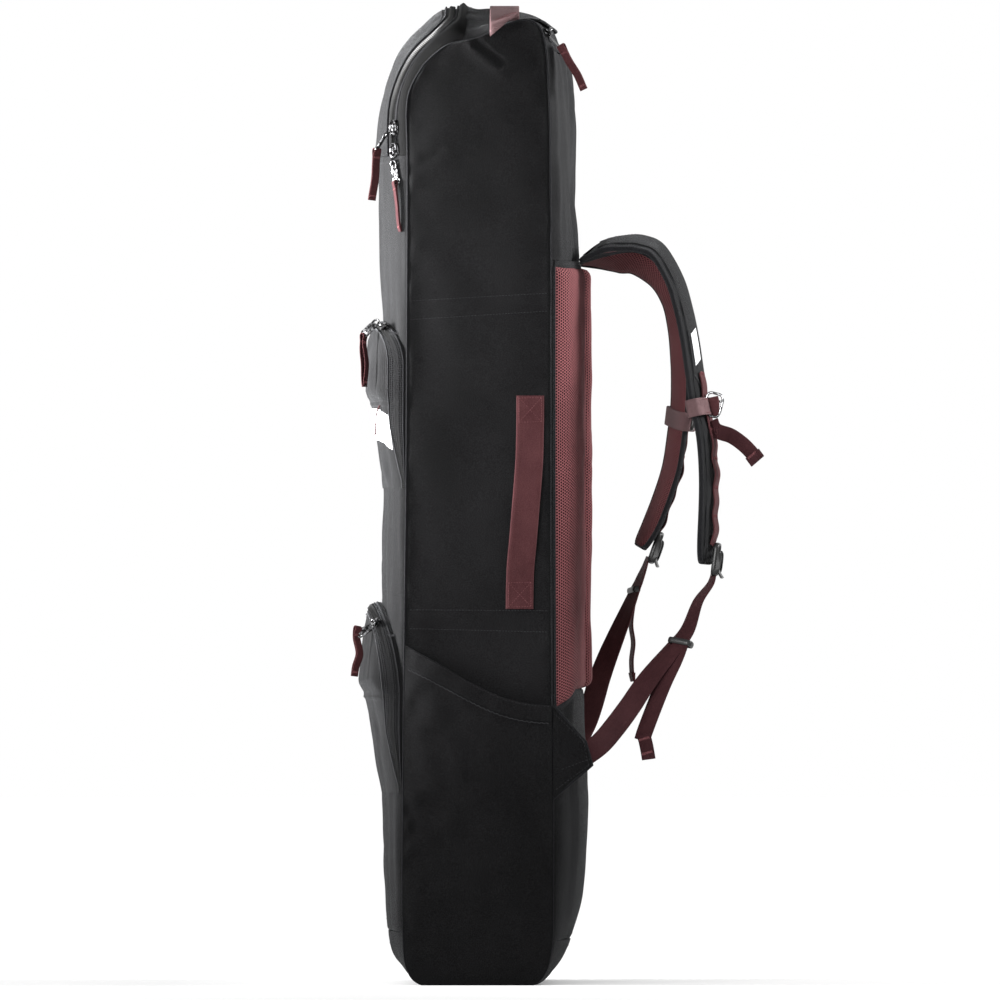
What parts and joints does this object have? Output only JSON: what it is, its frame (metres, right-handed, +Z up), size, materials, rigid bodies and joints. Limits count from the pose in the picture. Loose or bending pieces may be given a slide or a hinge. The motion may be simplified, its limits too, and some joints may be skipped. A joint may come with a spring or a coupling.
{
  "type": "ski boot bag",
  "caption": "Tall backpack-style gear bag with a zipped front lid, two front pockets, side sleeves, padded mesh back, shoulder straps and webbing carry handles.",
  "frame": {"origin": "middle of the flat base, on the surface that the bag stands on", "axes": "+X towards the side panel with the carry handle, -Y the front with the pockets, +Y the back with the harness, +Z up"},
  "size_m": [0.3162, 0.4625, 1.1022],
  "materials": {
    "canvas": "black woven polyester, matt",
    "spacer_mesh": "maroon 3-D spacer mesh with round holes",
    "webbing": "maroon ribbed webbing",
    "light_webbing": "dusty pink elastic webbing",
    "zip_coil": "dark nylon coil",
    "hardware_metal": "dark nickel",
    "buckle_plastic": "moulded acetal",
    "reflective_panel": "plain pale reflective film",
    "stiffener_board": "pressed board"
  },
  "bodies": {
    "bag": {"side_panel_right": "canvas", "side_panel_left": "canvas", "front_panel": "canvas", "base_panel": "canvas", "back_lower_panel": "canvas", "back_middle_panel": "canvas", "back_upper_panel": "canvas", "top_gusset": "canvas", "main_zip_fixed": "zip_coil", "base_board": "stiffener_board", "back_board": "stiffener_board", "back_pad_right": "spacer_mesh", "back_pad_centre": "spacer_mesh", "back_pad_left": "spacer_mesh", "upper_pocket": "canvas", "upper_pocket_zip": "zip_coil", "reflective_patch": "reflective_panel", "lower_pocket": "canvas", "lower_pocket_zip": "zip_coil", "side_pocket_right": "canvas", "side_pocket_left": "canvas", "strap_wing_right": "canvas", "strap_wing_left": "canvas", "strap_yoke": "canvas", "side_handle_top_end": "webbing", "side_handle_bottom_end": "webbing", "top_handle_right_end": "webbing", "top_handle_left_end": "webbing", "back_zip_slider": "hardware_metal", "anchor_webbing_right": "webbing", "anchor_webbing_left": "webbing"},
    "lid": {"top_flap": "canvas", "main_zip_moving": "zip_coil"},
    "main_slider_a": {"main_slider_a": "hardware_metal"},
    "main_pull_a": {"main_puller_a": "hardware_metal", "main_pull_loop_a": "webbing"},
    "main_slider_b": {"main_slider_b": "hardware_metal"},
    "main_pull_b": {"main_puller_b": "hardware_metal", "main_pull_loop_b": "webbing"},
    "upper_pocket_slider": {"upper_pocket_slider": "hardware_metal"},
    "upper_pocket_pull": {"upper_pocket_puller": "hardware_metal", "upper_pocket_pull_loop": "webbing"},
    "lower_pocket_slider": {"lower_pocket_slider": "hardware_metal"},
    "lower_pocket_pull": {"lower_pocket_puller": "hardware_metal", "lower_pocket_pull_loop": "webbing"},
    "back_zip_pull": {"back_zip_pull_loop": "webbing"},
    "side_handle": {"side_handle_grip": "webbing"},
    "top_handle": {"top_handle_grip": "webbing"},
    "strap_right": {"shoulder_pad_right": "canvas", "ladder_lock_right": "buckle_plastic", "harness_webbing_right": "webbing"},
    "strap_left": {"shoulder_pad_left": "canvas", "ladder_lock_left": "buckle_plastic", "harness_webbing_left": "webbing"},
    "sternum_right": {"sternum_loop_right": "light_webbing", "sternum_tail_right": "webbing"},
    "sternum_left": {"sternum_loop_left": "light_webbing", "sternum_hook_left": "buckle_plastic"},
    "webbing_tail_right": {"webbing_tail_right": "webbing"},
    "webbing_tail_left": {"webbing_tail_left": "webbing"}
  },
  "joints": [
    {"name": "lid_hinge", "type": "hinge", "parent": "bag", "child": "lid", "pos_m": [0, -0.115, 0.9302], "axis": [1, 0, 0], "range_deg": [0, 115]},
    {"name": "main_slider_a_slide", "type": "slide", "parent": "bag", "child": "main_slider_a", "axis": [0, 0, 1], "range_m": [0, 0.025]},
    {"name": "main_pull_a_swing", "type": "hinge", "parent": "main_slider_a", "child": "main_pull_a", "pos_m": [0.126, -0.1035, 0.954], "axis": [1, 0, 0], "range_deg": [-70, 0]},
    {"name": "main_slider_b_slide", "type": "slide", "parent": "bag", "child": "main_slider_b", "axis": [0, 0, 1], "range_m": [0, 0.009]},
    {"name": "main_pull_b_swing", "type": "hinge", "parent": "main_slider_b", "child": "main_pull_b", "pos_m": [0.134, -0.095, 0.922], "axis": [1, 0, 0], "range_deg": [-70, 0]},
    {"name": "upper_pocket_slider_slide", "type": "slide", "parent": "bag", "child": "upper_pocket_slider", "axis": [-0.976, -0.218, 0], "range_m": [0, 0.03]},
    {"name": "upper_pocket_pull_swing", "type": "hinge", "parent": "upper_pocket_slider", "child": "upper_pocket_pull", "pos_m": [0.104, -0.116, 0.744], "axis": [1, 0, 0], "range_deg": [-60, 0]},
    {"name": "lower_pocket_slider_slide", "type": "slide", "parent": "bag", "child": "lower_pocket_slider", "axis": [-0.976, -0.218, 0], "range_m": [0, 0.03]},
    {"name": "lower_pocket_pull_swing", "type": "hinge", "parent": "lower_pocket_slider", "child": "lower_pocket_pull", "pos_m": [0.104, -0.125, 0.401], "axis": [1, 0, 0], "range_deg": [-60, 0]},
    {"name": "back_zip_pull_swing", "type": "hinge", "parent": "bag", "child": "back_zip_pull", "pos_m": [0.137, 0.093, 1.053], "axis": [1, 0, 0], "range_deg": [0, 60]},
    {"name": "side_handle_lift", "type": "slide", "parent": "bag", "child": "side_handle", "axis": [1, 0, 0], "range_m": [0, 0.02]},
    {"name": "top_handle_lift", "type": "slide", "parent": "bag", "child": "top_handle", "axis": [0, 0, 1], "range_m": [0, 0.02]},
    {"name": "strap_right_swing", "type": "hinge", "parent": "bag", "child": "strap_right", "pos_m": [0.05, 0.118, 0.815], "axis": [1, 0, 0], "range_deg": [0, 20]},
    {"name": "strap_left_swing", "type": "hinge", "parent": "bag", "child": "strap_left", "pos_m": [-0.05, 0.118, 0.813], "axis": [1, 0, 0], "range_deg": [0, 20]},
    {"name": "sternum_right_slide", "type": "slide", "parent": "strap_right", "child": "sternum_right", "axis": [0, -0.16, 0.9871], "range_m": [-0.02, 0.02]},
    {"name": "sternum_left_slide", "type": "slide", "parent": "strap_left", "child": "sternum_left", "axis": [0, 0.05, 0.9987], "range_m": [-0.02, 0.02]},
    {"name": "webbing_tail_right_swing", "type": "hinge", "parent": "strap_right", "child": "webbing_tail_right", "pos_m": [0.116, 0.224, 0.36], "axis": [1, 0, 0], "range_deg": [0, 30]},
    {"name": "webbing_tail_left_swing", "type": "hinge", "parent": "strap_left", "child": "webbing_tail_left", "pos_m": [-0.117, 0.176, 0.43], "axis": [1, 0, 0], "range_deg": [-8, 25]}
  ]
}
